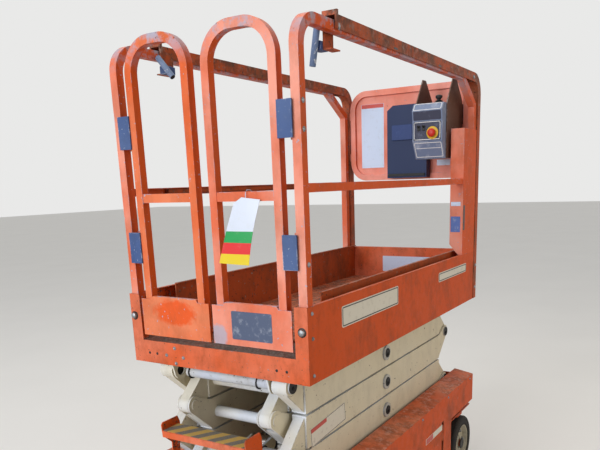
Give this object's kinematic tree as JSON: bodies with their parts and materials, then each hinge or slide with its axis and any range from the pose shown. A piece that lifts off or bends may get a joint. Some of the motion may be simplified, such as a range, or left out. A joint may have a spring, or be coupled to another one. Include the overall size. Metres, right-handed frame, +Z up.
{
  "type": "scissor lift",
  "caption": "Electric slab scissor lift with crossed arms, a railed platform with saloon gates and a roll-out deck extension",
  "frame": {"origin": "ground point under the middle of the overall box", "axes": "+X forward, towards the steered wheels and the deck extension; +Y left; +Z up"},
  "size_m": [1.85, 0.81, 2.096],
  "materials": {
    "orange_paint": "satin",
    "frame_paint": "satin",
    "deck_plate": "worn",
    "tyre": "matte",
    "wheel_paint": "satin",
    "battery_case": "gloss",
    "hydraulics": "satin",
    "arm_paint": "satin",
    "pin_steel": "machined",
    "cylinder_paint": "satin",
    "chrome_rod": "polished",
    "document_plastic": "moulded",
    "fitting_paint": "satin",
    "guard_paint": "worn",
    "knob_plastic": "gloss",
    "control_case": "moulded"
  },
  "bodies": {
    "chassis": {"chassis_tub": "frame_paint", "chassis_side_left": "frame_paint", "chassis_side_right": "frame_paint", "chassis_channels": "frame_paint", "side_cover_left": "orange_paint", "side_cover_right": "orange_paint", "entry_ladder": "orange_paint", "rear_axles": "frame_paint"},
    "wheel_rear_left": {"rear_tyre_left": "tyre", "rear_wheel_left": "wheel_paint"},
    "wheel_rear_right": {"rear_tyre_right": "tyre", "rear_wheel_right": "wheel_paint"},
    "steer_left": {"steer_yoke_left": "orange_paint"},
    "steer_right": {"steer_yoke_right": "orange_paint"},
    "wheel_front_left": {"front_tyre_left": "tyre", "front_wheel_left": "wheel_paint"},
    "wheel_front_right": {"front_tyre_right": "tyre", "front_wheel_right": "wheel_paint"},
    "tray_left": {"tray_left": "orange_paint", "battery_pack": "battery_case"},
    "tray_right": {"tray_right": "orange_paint", "hydraulic_pack": "hydraulics"},
    "guard_left": {"pothole_guard_left": "orange_paint"},
    "guard_right": {"pothole_guard_right": "orange_paint"},
    "outer_1": {"outer_arms_1": "arm_paint", "pivot_pins_1": "pin_steel"},
    "inner_1": {"inner_arms_1": "arm_paint"},
    "outer_2": {"outer_arms_2": "arm_paint", "pivot_pins_2": "pin_steel"},
    "inner_2": {"inner_arms_2": "arm_paint"},
    "outer_3": {"outer_arms_3": "arm_paint", "pivot_pins_3": "pin_steel"},
    "inner_3": {"inner_arms_3": "arm_paint"},
    "outer_4": {"outer_arms_4": "arm_paint", "pivot_pins_4": "pin_steel"},
    "inner_4": {"inner_arms_4": "arm_paint"},
    "cylinder_barrel": {"lift_barrel": "cylinder_paint"},
    "cylinder_rod": {"lift_rod": "chrome_rod"},
    "platform": {"platform_deck": "deck_plate", "platform_beams": "frame_paint", "platform_channels": "frame_paint", "platform_sides": "orange_paint", "main_rails_left": "orange_paint", "main_rails_right": "orange_paint"},
    "extension": {"extension_deck": "deck_plate", "extension_toe_board": "orange_paint", "extension_rail_left": "orange_paint", "extension_rail_right": "orange_paint", "slide_locks": "fitting_paint", "front_panel": "orange_paint", "document_box": "document_plastic", "control_box": "control_case", "control_guards": "guard_paint", "control_knobs": "knob_plastic"},
    "gate_left": {"gate_left": "orange_paint", "gate_hinges_left": "fitting_paint"},
    "gate_right": {"gate_right": "orange_paint", "gate_hinges_right": "fitting_paint"}
  },
  "joints": [
    {"name": "rear_wheel_left_spin", "type": "hinge", "parent": "chassis", "child": "wheel_rear_left", "pos_m": [-0.61, 0.35, 0.1525], "axis": [0, 1, 0], "continuous": true},
    {"name": "rear_wheel_right_spin", "type": "hinge", "parent": "chassis", "child": "wheel_rear_right", "pos_m": [-0.61, -0.35, 0.1525], "axis": [0, 1, 0], "continuous": true},
    {"name": "steer_left_turn", "type": "hinge", "parent": "chassis", "child": "steer_left", "pos_m": [0.725, 0.35, 0.35], "axis": [0, 0, 1], "range_deg": [-75, 75]},
    {"name": "steer_right_turn", "type": "hinge", "parent": "chassis", "child": "steer_right", "pos_m": [0.725, -0.35, 0.35], "axis": [0, 0, 1], "range_deg": [-75, 75]},
    {"name": "front_wheel_left_spin", "type": "hinge", "parent": "steer_left", "child": "wheel_front_left", "pos_m": [0.725, 0.35, 0.1525], "axis": [0, 1, 0], "continuous": true},
    {"name": "front_wheel_right_spin", "type": "hinge", "parent": "steer_right", "child": "wheel_front_right", "pos_m": [0.725, -0.35, 0.1525], "axis": [0, 1, 0], "continuous": true},
    {"name": "tray_left_swing", "type": "hinge", "parent": "chassis", "child": "tray_left", "pos_m": [0.402, 0.398, 0.25], "axis": [0, 0, -1], "range_deg": [0, 90]},
    {"name": "tray_right_swing", "type": "hinge", "parent": "chassis", "child": "tray_right", "pos_m": [0.402, -0.398, 0.25], "axis": [0, 0, 1], "range_deg": [0, 90]},
    {"name": "guard_left_drop", "type": "hinge", "parent": "chassis", "child": "guard_left", "pos_m": [0, 0.387, 0.104], "axis": [1, 0, 0], "range_deg": [0, 90]},
    {"name": "guard_right_drop", "type": "hinge", "parent": "chassis", "child": "guard_right", "pos_m": [0, -0.387, 0.104], "axis": [-1, 0, 0], "range_deg": [0, 90]},
    {"name": "lift", "type": "hinge", "parent": "chassis", "child": "outer_1", "pos_m": [-0.775, 0, 0.38], "axis": [0, -1, 0], "range_deg": [0, 56.3]},
    {"name": "inner_1_turn", "type": "hinge", "parent": "outer_1", "child": "inner_1", "pos_m": [-0.01789, 0, 0.44624], "axis": [0, -1, 0], "range_deg": [-113, 0]},
    {"name": "outer_2_turn", "type": "hinge", "parent": "outer_1", "child": "outer_2", "pos_m": [0.73922, 0, 0.51248], "axis": [0, -1, 0], "range_deg": [-113, 0]},
    {"name": "inner_2_turn", "type": "hinge", "parent": "outer_2", "child": "inner_2", "pos_m": [-0.01789, 0, 0.57871], "axis": [0, -1, 0], "range_deg": [0, 113]},
    {"name": "outer_3_turn", "type": "hinge", "parent": "outer_2", "child": "outer_3", "pos_m": [-0.775, 0, 0.64495], "axis": [0, -1, 0], "range_deg": [0, 113]},
    {"name": "inner_3_turn", "type": "hinge", "parent": "outer_3", "child": "inner_3", "pos_m": [-0.01789, 0, 0.71119], "axis": [0, -1, 0], "range_deg": [-113, 0]},
    {"name": "outer_4_turn", "type": "hinge", "parent": "outer_3", "child": "outer_4", "pos_m": [0.73922, 0, 0.77743], "axis": [0, -1, 0], "range_deg": [-113, 0]},
    {"name": "inner_4_turn", "type": "hinge", "parent": "outer_4", "child": "inner_4", "pos_m": [-0.01789, 0, 0.84367], "axis": [0, -1, 0], "range_deg": [0, 113]},
    {"name": "platform_level", "type": "hinge", "parent": "outer_4", "child": "platform", "pos_m": [-0.775, 0, 0.90991], "axis": [0, -1, 0], "range_deg": [0, 56.7]},
    {"name": "cylinder_swing", "type": "hinge", "parent": "inner_1", "child": "cylinder_barrel", "pos_m": [0.508, 0, 0.358], "axis": [0, -1, 0], "range_deg": [-4, 0]},
    {"name": "cylinder_stroke", "type": "slide", "parent": "cylinder_barrel", "child": "cylinder_rod", "axis": [-0.9793, 0, 0.2025], "range_m": [0, 0.345]},
    {"name": "extension_slide", "type": "slide", "parent": "platform", "child": "extension", "axis": [1, 0, 0], "range_m": [0, 0.9]},
    {"name": "gate_left_swing", "type": "hinge", "parent": "platform", "child": "gate_left", "pos_m": [-0.772, 0.332, 1.6], "axis": [0, 0, 1], "range_deg": [0, 90], "stiffness_Nm_per_rad": 3},
    {"name": "gate_right_swing", "type": "hinge", "parent": "platform", "child": "gate_right", "pos_m": [-0.772, -0.332, 1.6], "axis": [0, 0, -1], "range_deg": [0, 90], "stiffness_Nm_per_rad": 3}
  ],
  "couplings": [
    {"joint": "steer_right_turn", "follows": "steer_left_turn", "ratio": 1},
    {"joint": "inner_1_turn", "follows": "lift", "ratio": -2},
    {"joint": "outer_2_turn", "follows": "lift", "ratio": -2},
    {"joint": "inner_2_turn", "follows": "lift", "ratio": 2},
    {"joint": "outer_3_turn", "follows": "lift", "ratio": 2},
    {"joint": "inner_3_turn", "follows": "lift", "ratio": -2},
    {"joint": "outer_4_turn", "follows": "lift", "ratio": -2},
    {"joint": "inner_4_turn", "follows": "lift", "ratio": 2},
    {"joint": "platform_level", "follows": "lift", "ratio": 1},
    {"joint": "cylinder_swing", "follows": "lift", "ratio": -0.061},
    {"joint": "cylinder_stroke", "follows": "lift", "m_per_rad": 0.35}
  ]
}
